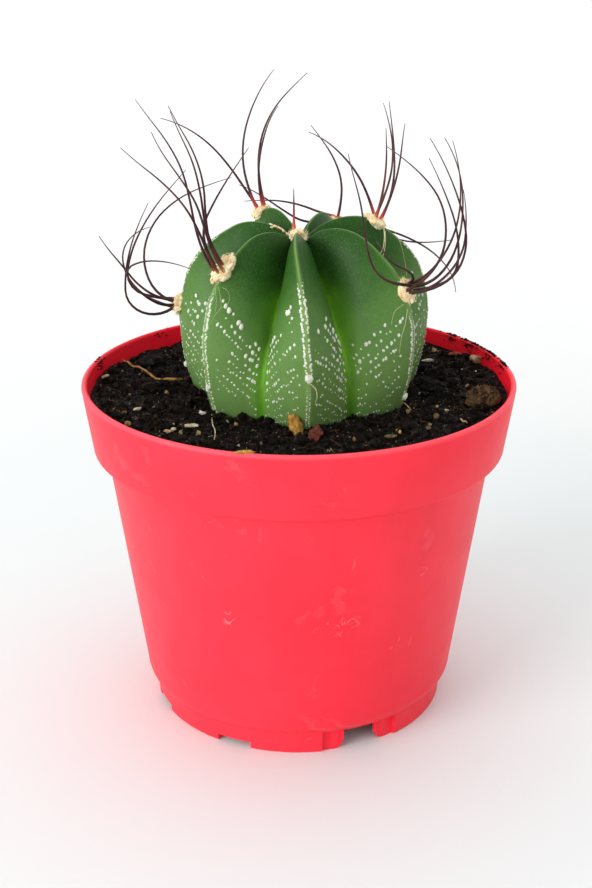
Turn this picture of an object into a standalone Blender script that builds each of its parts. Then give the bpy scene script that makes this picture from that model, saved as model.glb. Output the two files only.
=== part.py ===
# A goat's-horn cactus with seven ribs in a 10.5 cm nursery pot, metres, +Z up.
# The origin is on the pot's axis at the surface that the pot stands on, and -Y is the front.
import math

import bmesh
import bpy
from mathutils import Matrix, Vector

MM = 0.001

# The gap that neighbours keep, and how finely round pieces are divided
GAP = 0.3 * MM
POT_STEPS = 48
STEPS_PER_RIB = 6
LIP_STEPS = 4
CORNER_STEPS = 3
FLARE_STEPS = 4
DRAIN_STEPS = 12
SECTOR_STEP_DEGREES = 4

# Pot
POT_HEIGHT = 83.8 * MM
RIM_RADIUS = 52.5 * MM
WALL = 1.4 * MM
LIP_ROUND = 0.7 * MM
COLLAR_HEIGHT = 16.2 * MM
COLLAR_DRAFT = 2.3 * MM
COLLAR_STEP = 3.0 * MM
BASE_RADIUS = 39.1 * MM
BASE_CORNER = 3.6 * MM
FOOT_STEP = 0.3 * MM
FOOT_INSET = 2.6 * MM
FOOT_WALL = 1.8 * MM
FOOT_HEIGHT = 6.3 * MM
FLOOR_THICKNESS = 1.6 * MM
NOTCH_ANGLES = (24.5, 204.5)
NOTCH_WIDTH = 8.2 * MM
NOTCH_HEIGHT = 5.1 * MM
NOTCH_FLARE = 2.6 * MM
EAR_SPREAD = 31.0
EAR_RECESS = 0.8 * MM
LOW_NOTCH_ANGLES = (-68.5, -25.5, 111.5, 154.5)
LOW_NOTCH_SPREAD = 14.0
LOW_NOTCH_HEIGHT = 1.8 * MM
DRAIN_HOLES = 6
DRAIN_RADIUS = 3.5 * MM
DRAIN_SHARE = 0.665

# Soil
SOIL_DROP = 5.3 * MM
SOIL_RISE = 1.6 * MM
SOIL_BUMP = 0.5 * MM
SOIL_FADE = 0.6
SOIL_RINGS = 5
POCKET_CLEARANCE = 0.4 * MM
BIT_CLEARANCE = 0.6 * MM
BIT_SINK = 0.4

# Cactus body: its axis, and how far its ribs reach out and up from the soil
BODY_X = 0.3 * MM
BODY_Y = 4.5 * MM
BODY_RADIUS = 30.0 * MM
BODY_HEIGHT = 42.0 * MM
CROWN_SHARE = 0.885
ROOT_DEPTH = 34.0 * MM
# Both run from crown to soil, as shares of the body's radius and height, point for point
CREST = ((0.09, 0.92), (0.18, 0.965), (0.33, 0.995), (0.48, 0.985), (0.60, 0.94), (0.72, 0.875),
         (0.83, 0.80), (0.92, 0.70), (0.97, 0.585), (1.0, 0.46), (0.995, 0.34), (0.97, 0.18), (0.90, 0.0))
FURROW = ((0.04, 0.90), (0.10, 0.865), (0.17, 0.815), (0.24, 0.755), (0.31, 0.685), (0.38, 0.61),
          (0.46, 0.53), (0.54, 0.45), (0.61, 0.375), (0.67, 0.295), (0.715, 0.205), (0.74, 0.10), (0.74, 0.0))
# Below the soil: share of the outline at soil level that is left, and share of the root's depth
BURIED = ((0.86, 0.12), (0.58, 0.24), (0.26, 0.36), (0.12, 0.55), (0.07, 0.85))
# Each rib: degrees round from the front, and its reach and rise against the common profile
RIBS = {
    "front": (2.0, 1.0, 1.0),
    "front_right": (60.0, 1.02, 1.0),
    "back_right": (106.0, 1.10, 1.02),
    "back": (156.0, 1.0, 1.0),
    "back_left": (212.0, 1.0, 1.03),
    "left": (261.0, 1.0, 1.0),
    "front_left": (310.0, 0.97, 0.985),
}

# Spines
SPINE_BASE = 0.28 * MM
SPINE_TIP = 0.10 * MM
SPINE_POINTS = 9
STEPS_PER_POINT = 4
SPINE_RING = 1.25 * MM
# Areoles that bear spines: rib, place along the crest, wool pad (across, along, thick) in mm, and spines.
# A spine is its length, its leans (clockwise from upright, seen from the front) read evenly along it,
# and its tilts towards the front at its base and its tip.
AREOLES = {
    "left": ("left", 8.8, (3.2, 4.6, 2.6), (
        (35, (-86, -54, -38, -28, 60, 84, 98, 110), (32, 12)),
        (26, (-84, -52, -32, -34, -25), (10, 20)),
        (46, (-90, -70, 10, 24, 33, 40, 42), (5, 12)),
        (46, (-82, -24, 16, 48, 69, 75), (-20, -5)),
        (30, (-80, -66, -40, -8, 45, 84), (-10, -25)),
        (40, (-120, -62, 2, 13, 22, 28), (25, 5)),
    )),
    "front_left": ("front_left", 5.7, (4.6, 6.6, 3.2), (
        (38, (-26, -14, -13, -30, -32, -20), (26, 12)),
        (39, (-28, -14, -4, -11, -24, -20), (26, 4)),
        (39, (-28, -6, 0, -15, -28, -24), (10, 12)),
        (30, (-30, -12, 26, 31, 35, 36), (2, -12)),
        (43, (-30, -16, -8, -12, -28, -38, -36), (15, -8)),
        (38, (-25, -16, -25, -40, -49, -44), (22, 10)),
    )),
    "back_left": ("back_left", 3.9, (4.2, 4.6, 2.8), (
        (35, (-24, -15, 2, 17, 28, 40), (-5, -12)),
        (26, (-12, -2, 10, 18, 36), (8, 14)),
        (36, (-16, -6, 9, 28, 44, 48), (-15, 0)),
        (33, (-36, -34, -42, -58, -76), (-10, 5)),
    )),
    "back": ("back", 5.0, (3.6, 4.4, 2.6), (
        (26, (-115, -88, -58, -55, -58, -70), (-5, 5)),
        (24, (-82, -72, -82, -93, -97), (-22, -10)),
        (37, (100, 104, 108, 120, 140, 176), (6, 8)),
        (30, (112, 112, 108, 90, 80), (-14, 0)),
        (26, (16, 4, -20, -35, -38), (-10, 5)),
    )),
    "back_right": ("back_right", 3.7, (5.2, 4.4, 2.6), (
        (27, (26, 18, 2, -12, -20), (-8, -5)),
        (26, (-16, -24, -38, -50, -70), (10, -5)),
        (21, (16, 10, 4, -2, -4), (0, 5)),
        (24, (22, 17, 10, 4, 7), (12, 8)),
        (28, (32, 12, -2, -7, -8), (-20, -12)),
    )),
    "front_right": ("front_right", 7.0, (4.4, 5.0, 3.0), (
        (42, (78, 38, 16, 3, -6, -20, -33), (20, 5)),
        (37, (70, 44, 28, 12, 0, -10, -18), (-15, -20)),
        (16, (45, -45, -62, -45, -30, -38), (30, 10)),
        (40, (-80, -58, -20, -8, -10, -17, -12), (35, -5)),
        (41, (64, 38, 8, -14, -40, -52, -58), (-5, -15)),
        (49, (78, 52, 15, -10, -20, -26, -33), (32, 8)),
        (32, (75, 48, 26, 2, -6, -14), (12, 20)),
        (38, (82, 66, 4, -10, -21, -25, -28), (5, -5)),
    )),
    "crown": ("front", 0.0, (3.4, 3.4, 2.2), (
        (10.7, (0, 0, -1), (0, 0)),
    )),
}
# Old areoles low on the ribs, without spines: rib, place along the crest, wool pad in mm
OLD_AREOLES = {
    "front": ("front", 10.35, (1.7, 1.9, 1.6)),
    "front_left": ("front_left", 11.1, (1.0, 1.9, 1.1)),
    "front_right": ("front_right", 11.5, (1.2, 1.7, 1.3)),
    "left": ("left", 11.3, (1.0, 1.4, 1.1)),
}
# Bits lying on the soil: degrees round the plant, share of the way from the plant to the pot's wall,
# half sizes in mm, degrees turned, colour
SOIL_BITS = {
    "fibre_clod": ((73.4, 0.78), (4.0, 2.8, 1.6), 20, (0.10, 0.045, 0.02)),
    "bark_chip_long": ((358.4, 0.21), (1.5, 2.9, 0.9), 15, (0.42, 0.24, 0.07)),
    "bark_chip_short": ((5.9, 0.30), (1.4, 1.9, 0.8), -30, (0.30, 0.10, 0.05)),
    "black_clod": ((88.0, 0.29), (2.2, 1.8, 1.4), 40, (0.012, 0.010, 0.009)),
}
# A dry root lying on the soil: degrees round the plant, and share of the way from it to the pot's wall
ROOT_ROUTE = ((265.9, 0.13), (268.0, 0.25), (265.9, 0.38), (261.6, 0.52), (258.1, 0.70), (254.7, 0.89))
ROOT_THICKNESS = 0.35 * MM

SOIL_LEVEL = POT_HEIGHT - SOIL_DROP
FLOOR_TOP = FOOT_HEIGHT + FLOOR_THICKNESS
FOOT_RADIUS = BASE_RADIUS - FOOT_INSET
DRAIN_CIRCLE = DRAIN_SHARE * BASE_RADIUS
COLLAR_Z = POT_HEIGHT - COLLAR_HEIGHT
COLLAR_RADIUS = RIM_RADIUS - COLLAR_DRAFT
SHOULDER_RADIUS = COLLAR_RADIUS - COLLAR_STEP
CORNER_Z = FOOT_HEIGHT + BASE_CORNER


def clear_scene():
    for thing in list(bpy.data.objects):
        bpy.data.objects.remove(thing, do_unlink=True)


def material(name, colour, roughness, metallic=0.0):
    made = bpy.data.materials.new(name)
    made.use_nodes = True
    shader = made.node_tree.nodes["Principled BSDF"]
    shader.inputs["Base Color"].default_value = (*colour, 1.0)
    shader.inputs["Roughness"].default_value = roughness
    shader.inputs["Metallic"].default_value = metallic
    return made


def add_mesh(name, bm, finish=None, sharp=40.0):
    bmesh.ops.recalc_face_normals(bm, faces=bm.faces)
    mesh = bpy.data.meshes.new(name)
    bm.to_mesh(mesh)
    bm.free()
    mesh.shade_smooth()
    mesh.set_sharp_from_angle(angle=math.radians(sharp))
    made = bpy.data.objects.new(name, mesh)
    bpy.context.scene.collection.objects.link(made)
    if finish:
        mesh.materials.append(finish)
    return made


def add_tube(name, points, first_radius, last_radius, finish):
    """A round tube along the points, with closed ends, tapered evenly from its first radius to its last."""
    curve = bpy.data.curves.new(name, "CURVE")
    curve.dimensions = "3D"
    curve.bevel_depth = first_radius
    curve.bevel_resolution = 1
    curve.use_fill_caps = True
    spline = curve.splines.new("POLY")
    spline.points.add(len(points) - 1)
    for i, point in enumerate(points):
        share = i / (len(points) - 1)
        spline.points[i].co = (*point, 1.0)
        spline.points[i].radius = 1.0 + (last_radius / first_radius - 1.0) * share
    curve.materials.append(finish)
    bpy.context.scene.collection.objects.link(bpy.data.objects.new(name, curve))


def cut(target, name, bm, folded=False):
    cutter = add_mesh(name, bm)
    cutter.hide_render = True
    cutter.display_type = "WIRE"
    boolean = target.modifiers.new(name, "BOOLEAN")
    boolean.operation = "DIFFERENCE"
    boolean.solver = "EXACT"
    boolean.use_self = folded
    boolean.object = cutter


def skin(bm, rings, first=None, last=None):
    """Joins equal rings of points into one skin; first and last close its ends with a point each."""
    loops = [[bm.verts.new(p) for p in ring] for ring in rings]
    count = len(loops[0])
    for lower, upper in zip(loops, loops[1:]):
        for i in range(count):
            j = (i + 1) % count
            bm.faces.new((lower[i], lower[j], upper[j], upper[i]))
    for loop, tip in ((loops[0], first), (loops[-1], last)):
        if tip is None:
            continue
        pole = bm.verts.new(tip)
        for i in range(count):
            bm.faces.new((loop[i], loop[(i + 1) % count], pole))


def around(radius, degrees, z):
    """A point at that radius and height, degrees round from the front."""
    turn = math.radians(degrees)
    return Vector((radius * math.sin(turn), -radius * math.cos(turn), z))


# Pot

def pot_inner_points():
    """The pot's inner wall from its rim down to the floor's edge."""
    return (
        (RIM_RADIUS - WALL, POT_HEIGHT - LIP_ROUND),
        (COLLAR_RADIUS - WALL, COLLAR_Z + WALL),
        (SHOULDER_RADIUS - WALL, COLLAR_Z + WALL),
        (BASE_RADIUS - WALL, CORNER_Z),
        (BASE_RADIUS - BASE_CORNER, FLOOR_TOP),
    )


def pot_profile():
    foot_inside = FOOT_RADIUS - FOOT_WALL
    points = [(0, FOOT_HEIGHT), (foot_inside, FOOT_HEIGHT), (foot_inside, 0), (FOOT_RADIUS, 0)]
    corner_start = FOOT_RADIUS + FOOT_STEP
    for i in range(CORNER_STEPS + 1):
        turn = math.pi / 2 * i / CORNER_STEPS
        points.append((corner_start + (BASE_RADIUS - corner_start) * math.sin(turn),
                       CORNER_Z - BASE_CORNER * math.cos(turn)))
    points += [(SHOULDER_RADIUS, COLLAR_Z), (COLLAR_RADIUS, COLLAR_Z)]
    lip_middle = RIM_RADIUS - WALL / 2
    for i in range(LIP_STEPS + 1):
        turn = math.pi * i / LIP_STEPS
        points.append((lip_middle + WALL / 2 * math.cos(turn), POT_HEIGHT - LIP_ROUND * (1 - math.sin(turn))))
    points += list(pot_inner_points()[1:])
    points.append((0, FLOOR_TOP))
    return points


def ring_sector(bm, inner, outer, low, high, middle, spread):
    """Adds a closed piece of a ring, spread degrees wide about the direction middle."""
    steps = max(3, round(spread / SECTOR_STEP_DEGREES))
    rings = []
    for i in range(steps + 1):
        degrees = middle + spread * (i / steps - 0.5)
        corners = ((inner, low), (outer, low), (outer, high), (inner, high))
        rings.append([around(radius, degrees, z) for radius, z in corners])
    skin(bm, rings, sum(rings[0], Vector()) / 4, sum(rings[-1], Vector()) / 4)


def arch(bm, degrees):
    """Adds the cutter of one open notch: upright sides whose feet flare out in a quarter round."""
    half = NOTCH_WIDTH / 2
    outline = [(-half, NOTCH_HEIGHT), (half, NOTCH_HEIGHT)]
    for i in range(FLARE_STEPS + 1):
        turn = math.pi / 2 * i / FLARE_STEPS
        outline.append((half + NOTCH_FLARE * (1 - math.cos(turn)), NOTCH_FLARE * (1 - math.sin(turn))))
    outline.append((half + NOTCH_FLARE, -NOTCH_FLARE))
    outline += [(-x, z) for x, z in reversed(outline[2:])]
    turn = math.radians(degrees)
    across = Vector((math.cos(turn), math.sin(turn), 0))
    near, far = FOOT_RADIUS - 3 * FOOT_WALL, FOOT_RADIUS + 2 * FOOT_WALL
    rings = [[around(r, degrees, z) + across * x for x, z in outline] for r in (near, far)]
    loops = [bm.faces.new([bm.verts.new(p) for p in ring]) for ring in rings]
    sides = list(zip(loops[0].verts, loops[1].verts))
    for (a, b), (c, d) in zip(sides, sides[1:] + sides[:1]):
        bm.faces.new((a, c, d, b))


def build_pot():
    bm = bmesh.new()
    verts = [bm.verts.new((r, 0, z)) for r, z in pot_profile()]
    edges = [bm.edges.new(pair) for pair in zip(verts, verts[1:])]
    bmesh.ops.spin(bm, geom=verts + edges, cent=(0, 0, 0), axis=(0, 0, 1), angle=math.tau,
                   steps=POT_STEPS, use_merge=True)
    bmesh.ops.remove_doubles(bm, verts=bm.verts, dist=0.00001)
    pot = add_mesh("pot", bm, material("pot_red", (0.86, 0.055, 0.075), 0.42))

    ears = bmesh.new()
    for degrees in NOTCH_ANGLES:
        ring_sector(ears, FOOT_RADIUS - EAR_RECESS, FOOT_RADIUS + WALL, -WALL, FOOT_HEIGHT - WALL / 2,
                    degrees, EAR_SPREAD)
    cut(pot, "ear_cutter", ears)
    notches = bmesh.new()
    for degrees in NOTCH_ANGLES:
        arch(notches, degrees)
    cut(pot, "notch_cutter", notches)
    low_notches = bmesh.new()
    for degrees in LOW_NOTCH_ANGLES:
        ring_sector(low_notches, FOOT_RADIUS - 2 * FOOT_WALL, FOOT_RADIUS + WALL, -WALL, LOW_NOTCH_HEIGHT,
                    degrees, LOW_NOTCH_SPREAD)
    cut(pot, "low_notch_cutter", low_notches)
    drains = bmesh.new()
    for i in range(DRAIN_HOLES):
        made = bmesh.ops.create_cone(drains, cap_ends=True, segments=DRAIN_STEPS, radius1=DRAIN_RADIUS,
                                     radius2=DRAIN_RADIUS, depth=4 * FLOOR_THICKNESS)
        place = around(DRAIN_CIRCLE, NOTCH_ANGLES[0] + 360 * i / DRAIN_HOLES, FOOT_HEIGHT)
        bmesh.ops.translate(drains, verts=made["verts"], vec=place)
    cut(pot, "drain_cutter", drains)


# Cactus body

def smooth_point(points, place):
    """A point on the smooth curve through the points, at a place counted in points."""
    place = min(max(place, 0.0), len(points) - 1.0)
    i = min(int(place), len(points) - 2)
    t = place - i
    ends = [Vector(points[min(max(k, 0), len(points) - 1)]) for k in (i - 1, i, i + 1, i + 2)]
    a, b, c, d = ends
    square, cube = 2 * a - 5 * b + 4 * c - d, 3 * b - a - 3 * c + d
    return 0.5 * (2 * b + (c - a) * t + square * t ** 2 + cube * t ** 3)


def rib_span(degrees):
    """The two ribs on either side of a direction, and its share of the way from one to the other."""
    ribs = sorted(RIBS.values())
    for before, after in zip(ribs, ribs[1:] + ribs[:1]):
        width = (after[0] - before[0]) % 360
        way = (degrees - before[0]) % 360
        if way <= width:
            return before, after, way / width
    return ribs[-1], ribs[0], 0.0


def body_radius_height(degrees, place):
    """Radius and height above the soil of the body's skin in a direction, at a place along the profile."""
    before, after, share = rib_span(degrees)
    crest = 1 - 2 * min(share, 1 - share)
    reach = before[1] + (after[1] - before[1]) * share
    rise = before[2] + (after[2] - before[2]) * share
    point = smooth_point(FURROW, place).lerp(smooth_point(CREST, place), crest)
    return point.x * reach * BODY_RADIUS, point.y * rise * BODY_HEIGHT


def body_point(degrees, place):
    radius, height = body_radius_height(degrees, place)
    return around(radius, degrees, SOIL_LEVEL + height) + Vector((BODY_X, BODY_Y, 0))


def body_directions():
    """Directions of the body's columns, with one on each crest and each furrow."""
    ribs = sorted(r[0] for r in RIBS.values())
    found = []
    for before, after in zip(ribs, ribs[1:] + [ribs[0] + 360]):
        found += [before + (after - before) * i / STEPS_PER_RIB for i in range(STEPS_PER_RIB)]
    return found


def buried_rings(grow):
    """Rings of the body from the soil's level down, each pushed out by grow."""
    rings = []
    for share, depth in ((1.0, 0.0),) + BURIED:
        ring = []
        for degrees in body_directions():
            radius, _ = body_radius_height(degrees, len(CREST) - 1)
            place = around(radius * share + grow, degrees, SOIL_LEVEL - depth * ROOT_DEPTH)
            ring.append(place + Vector((BODY_X, BODY_Y, 0)))
        rings.append(ring)
    return rings


def build_body():
    bm = bmesh.new()
    rings = []
    for i in range(2 * (len(CREST) - 1)):
        rings.append([body_point(degrees, i / 2) for degrees in body_directions()])
    rings += buried_rings(0.0)
    crown = Vector((BODY_X, BODY_Y, SOIL_LEVEL + CROWN_SHARE * BODY_HEIGHT))
    root_tip = Vector((BODY_X, BODY_Y, SOIL_LEVEL - ROOT_DEPTH))
    skin(bm, rings, crown, root_tip)
    add_mesh("cactus_body", bm, material("cactus_green", (0.09, 0.22, 0.06), 0.5), sharp=60.0)


def body_cutter():
    """The body's skin above the soil pushed out by the gap, which cuts what sits on it."""
    bm = bmesh.new()
    rings = [[body_point(degrees, i / 2) for degrees in body_directions()] for i in range(2 * len(CREST) - 1)]
    crown = Vector((BODY_X, BODY_Y, SOIL_LEVEL + CROWN_SHARE * BODY_HEIGHT))
    foot = Vector((BODY_X, BODY_Y, SOIL_LEVEL))
    skin(bm, rings, crown, foot)
    bmesh.ops.recalc_face_normals(bm, faces=bm.faces)
    bm.normal_update()
    moves = [(vert, vert.normal * GAP * vert.calc_shell_factor()) for vert in bm.verts]
    for vert, move in moves:
        vert.co += move
    return bm


# Soil

def soil_height(x, y):
    """The soil's surface: level at the plant, rising a little towards the pot, and lumpy."""
    away = math.hypot(x - BODY_X, y - BODY_Y) / BODY_RADIUS - 1.0
    fade = min(max(away / SOIL_FADE, 0.0), 1.0)
    lumps = math.sin(x / (3.1 * MM) + 0.4) * math.sin(y / (3.7 * MM) + 1.1)
    lumps += 0.6 * math.sin(x / (1.9 * MM) - y / (2.6 * MM))
    return SOIL_LEVEL + fade * (SOIL_RISE + SOIL_BUMP * lumps)


def wall_point(degrees, radius, z):
    """Where a level line from the plant's axis, in a direction, meets a circle about the pot's axis."""
    start = Vector((BODY_X, BODY_Y, 0))
    way = around(1.0, degrees, 0)
    along = start.dot(way)
    reach = -along + math.sqrt(along * along - start.length_squared + radius * radius)
    return Vector((*(start + way * reach).xy, z))


def soil_edge_radius():
    """The radius at which the soil meets the pot's collar, clear of the flats between its corners."""
    top, step = pot_inner_points()[:2]
    depth = (top[1] - SOIL_LEVEL - SOIL_RISE) / (top[1] - step[1])
    return (top[0] + (step[0] - top[0]) * depth) * math.cos(math.pi / POT_STEPS) - GAP


def soil_place(degrees, share):
    """A place on the soil, a share of the way from the plant to the pot's wall."""
    radius, _ = body_radius_height(degrees, len(CREST) - 1)
    inner = around(radius, degrees, 0) + Vector((BODY_X, BODY_Y, 0))
    place = inner.lerp(wall_point(degrees, soil_edge_radius(), 0), share)
    return place.x, place.y


def build_soil():
    across_flats = math.cos(math.pi / POT_STEPS)
    pocket = buried_rings(POCKET_CLEARANCE)

    def wall_ring(radius, z):
        return [wall_point(degrees, radius, z) for degrees in body_directions()]

    rim = wall_ring(soil_edge_radius(), SOIL_LEVEL + SOIL_RISE)
    surface = []
    for k in range(1, SOIL_RINGS + 1):
        ring = []
        for inner, outer in zip(pocket[0], rim):
            place = inner.lerp(outer, k / SOIL_RINGS)
            place.z = soil_height(place.x, place.y)
            ring.append(place)
        surface.append(ring)
    walls = [wall_ring(radius * across_flats - GAP, z + GAP) for radius, z in pot_inner_points()[1:]]
    rings = list(reversed(pocket)) + surface + walls
    pocket_floor = Vector((BODY_X, BODY_Y, SOIL_LEVEL - ROOT_DEPTH - 2 * GAP))
    bm = bmesh.new()
    skin(bm, rings, pocket_floor, Vector((BODY_X, BODY_Y, FLOOR_TOP + GAP)))
    add_mesh("soil", bm, material("peat", (0.012, 0.009, 0.008), 0.95), sharp=50.0)


def build_soil_bits():
    for name, (place, half, degrees, colour) in SOIL_BITS.items():
        bm = bmesh.new()
        bmesh.ops.create_icosphere(bm, subdivisions=2, radius=1.0)
        bmesh.ops.scale(bm, verts=bm.verts, vec=[size * MM for size in half])
        bmesh.ops.rotate(bm, verts=bm.verts, matrix=Matrix.Rotation(math.radians(degrees), 3, "Z"))
        bmesh.ops.translate(bm, verts=bm.verts, vec=(*soil_place(*place), 0))
        for vert in bm.verts:
            ground = soil_height(vert.co.x, vert.co.y) + BIT_CLEARANCE
            vert.co.z = ground + max(0.0, vert.co.z + BIT_SINK * half[2] * MM)
        add_mesh(name, bm, material(name, colour, 0.9))


def build_dry_root():
    points = []
    for place in ROOT_ROUTE:
        x, y = soil_place(*place)
        points.append(Vector((x, y, soil_height(x, y) + ROOT_THICKNESS + BIT_CLEARANCE)))
    straw = material("dry_root", (0.28, 0.14, 0.05), 0.85)
    add_tube("dry_root", points, ROOT_THICKNESS, ROOT_THICKNESS, straw)


# Areoles and spines

def crest_frame(rib, place):
    """A point on a rib's crest, with the directions across it, along it upwards, and out of it."""
    degrees = RIBS[rib][0]
    point = body_point(degrees, place)
    above = body_point(degrees, place - 0.5)
    below = body_point(degrees, place + 0.5)
    along = (above - below).normalized()
    across = Vector((math.cos(math.radians(degrees)), math.sin(math.radians(degrees)), 0))
    return point, across, along, across.cross(along).normalized()


def build_pad(name, rib, place, size, finish):
    """A cushion of wool astride the crest; returns where spines seat on it."""
    point, across, along, out = crest_frame(rib, place)
    half = [s * MM / 2 for s in size]
    bm = bmesh.new()
    bmesh.ops.create_icosphere(bm, subdivisions=2, radius=1.0)
    for vert in bm.verts:
        unit = vert.co.copy()
        vert.co = point + across * unit.x * half[0] + along * unit.y * half[1] + out * unit.z * half[2]
    pad = add_mesh(name, bm, finish)
    cut(pad, name + "_cutter", body_cutter(), folded=True)


def seat(rib, place, size, turn):
    """A point just off the pad's surface, on a small ring round its middle."""
    point, across, along, out = crest_frame(rib, place)
    half = [s * MM / 2 for s in size]
    x, y = SPINE_RING * math.cos(turn), SPINE_RING * math.sin(turn)
    lift = half[2] * math.sqrt(max(0.0, 1 - (x / half[0]) ** 2 - (y / half[1]) ** 2))
    return point + across * x + along * y + out * (lift + SPINE_BASE + GAP)


def listed(values, share):
    """The value that lies a share of the way through evenly spaced values."""
    place = share * (len(values) - 1)
    i = min(int(place), len(values) - 2)
    return values[i] + (values[i + 1] - values[i]) * (place - i)


def spine_path(start, length, leans, tilts):
    points = [start]
    steps = SPINE_POINTS * STEPS_PER_POINT
    for i in range(steps):
        share = (i + 0.5) / steps
        lean, tilt = math.radians(listed(leans, share)), math.radians(listed(tilts, share))
        way = Vector((math.sin(lean) * math.cos(tilt), -math.sin(tilt), math.cos(lean) * math.cos(tilt)))
        points.append(points[-1] + way * (length / steps))
    return points[::STEPS_PER_POINT]


def build_areoles():
    wool = material("wool", (0.72, 0.58, 0.34), 0.95)
    horn = material("spine_horn", (0.05, 0.018, 0.028), 0.45)
    for name, (rib, place, size, spines) in AREOLES.items():
        build_pad("wool_" + name, rib, place, size, wool)
        for k, (length, leans, tilts) in enumerate(spines):
            turn = math.tau * k / len(spines)
            start = seat(rib, place, size, turn if len(spines) > 1 else math.pi)
            points = spine_path(start, length * MM, leans, tilts)
            add_tube(f"spine_{name}_{k + 1}", points, SPINE_BASE, SPINE_TIP, horn)
    for name, (rib, place, size) in OLD_AREOLES.items():
        build_pad("old_wool_" + name, rib, place, size, wool)


clear_scene()
build_pot()
build_soil()
build_body()
build_areoles()
build_soil_bits()
build_dry_root()
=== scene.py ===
import math
import random

import bmesh
import bpy
from mathutils import Matrix, Vector, noise


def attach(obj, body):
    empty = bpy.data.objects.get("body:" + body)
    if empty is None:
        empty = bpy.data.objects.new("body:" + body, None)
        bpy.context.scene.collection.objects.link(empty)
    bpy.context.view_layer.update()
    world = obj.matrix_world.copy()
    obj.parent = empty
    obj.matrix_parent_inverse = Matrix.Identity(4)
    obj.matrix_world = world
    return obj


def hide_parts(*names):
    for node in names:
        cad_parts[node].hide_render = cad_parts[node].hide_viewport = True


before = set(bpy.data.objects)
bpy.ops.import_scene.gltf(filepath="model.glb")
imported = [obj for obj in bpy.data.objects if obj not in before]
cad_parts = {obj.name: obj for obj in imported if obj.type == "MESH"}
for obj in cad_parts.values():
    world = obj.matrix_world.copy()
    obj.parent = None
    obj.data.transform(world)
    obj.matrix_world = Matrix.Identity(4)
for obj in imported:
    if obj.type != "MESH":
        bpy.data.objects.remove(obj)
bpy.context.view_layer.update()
print("frame loaded")

# A goat's-horn cactus with seven ribs, potted in a red nursery pot. Metres, front towards -Y.
mm = 0.001
scratch = bpy.data.meshes.new("scratch")


# Small helpers that every piece uses

def around(radius, degrees, height):
    turn = math.radians(degrees)
    return Vector((radius * math.sin(turn), -radius * math.cos(turn), height))


def listed(values, share):
    # the value a share of the way through evenly spaced values
    spot = min(max(share, 0.0), 1.0) * (len(values) - 1)
    i = min(int(spot), len(values) - 2)
    return values[i] + (values[i + 1] - values[i]) * (spot - i)


def wobble(point, size, seed=0.0):
    # smooth noise from -1 to 1, with lumps about as wide as size
    return noise.noise(Vector(point) / size + Vector((seed, seed * 0.7, -seed)))


def meshPiece(name, bm, material, sharp=None):
    mesh = bpy.data.meshes.new(name)
    bm.to_mesh(mesh)
    bm.free()
    mesh.shade_smooth()
    if sharp:
        mesh.set_sharp_from_angle(angle=math.radians(sharp))
    mesh.materials.append(material)
    made = bpy.data.objects.new(name, mesh)
    bpy.context.scene.collection.objects.link(made)
    return made


def stand(piece, slot, *nodes):
    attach(piece, "root")
    if nodes:
        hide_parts(*nodes)


def newStrands(name, thickness, sides=1):
    # a curve that holds many round strands, each with its own taper
    strands = bpy.data.curves.new(name, "CURVE")
    strands.dimensions = "3D"
    strands.bevel_depth = thickness
    strands.bevel_resolution = sides
    strands.use_fill_caps = True
    return strands


def addStrand(strands, points, radii):
    line = strands.splines.new("POLY")
    line.points.add(len(points) - 1)
    for i, point in enumerate(points):
        line.points[i].co = (*point, 1.0)
        line.points[i].radius = listed(radii, i / (len(points) - 1))
    line.use_smooth = True


def strandsPiece(strands, material):
    strands.materials.append(material)
    made = bpy.data.objects.new(strands.name, strands)
    bpy.context.scene.collection.objects.link(made)
    return made


def lump(bm, centre, halves, turn, rough, seed, fineness=2):
    # an icosphere roughened, squashed to its half sizes, turned, moved to its place and added to bm
    ball = bmesh.new()
    bmesh.ops.create_icosphere(ball, subdivisions=fineness, radius=1.0)
    for vert in ball.verts:
        vert.co *= 1.0 + rough * wobble(vert.co, 0.9, seed)
    bmesh.ops.scale(ball, vec=halves, verts=ball.verts)
    addTo(bm, ball, Matrix.Translation(centre) @ turn.to_4x4())


def addTo(bm, small, matrix):
    # adding through a scratch mesh keeps thousands of small shapes quick to make
    bmesh.ops.transform(small, matrix=matrix, verts=small.verts)
    small.to_mesh(scratch)
    small.free()
    bm.from_mesh(scratch)


# Small helpers for materials

def newMaterial(name, **sockets):
    made = bpy.data.materials.new(name)
    made.use_nodes = True
    shader = made.node_tree.nodes["Principled BSDF"]
    for socket, value in sockets.items():
        shader.inputs[socket.replace("_", " ")].default_value = value
    return made, made.node_tree, shader


def node(tree, kind, settings=(), **inputs):
    made = tree.nodes.new("ShaderNode" + kind)
    for name, value in dict(settings).items():
        setattr(made, name, value)
    for name, value in inputs.items():
        socket = made.inputs[name.replace("_", " ")]
        if isinstance(value, bpy.types.NodeSocket):
            tree.links.new(value, socket)
        else:
            socket.default_value = value
    return made


def objectSpace(tree, stretch=(1, 1, 1), turn=(0, 0, 0)):
    coordinates = node(tree, "TexCoord").outputs["Object"]
    return node(tree, "Mapping", Vector=coordinates, Scale=stretch, Rotation=turn).outputs["Vector"]


def clouds(tree, space, scale, detail=3.0, roughness=0.5, distortion=0.0):
    return node(tree, "TexNoise", Vector=space, Scale=scale, Detail=detail, Roughness=roughness,
                Distortion=distortion).outputs["Fac"]


def ramp(tree, factor, *stops):
    # stops are (place, colour) pairs, and a single number is a grey
    made = node(tree, "ValToRGB", Fac=factor)
    elements = made.color_ramp.elements
    while len(elements) < len(stops):
        elements.new(0.5)
    for element, (place, colour) in zip(elements, stops):
        element.position = place
        element.color = (*colour, 1.0) if isinstance(colour, tuple) else (colour, colour, colour, 1.0)
    return made.outputs["Color"]


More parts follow.
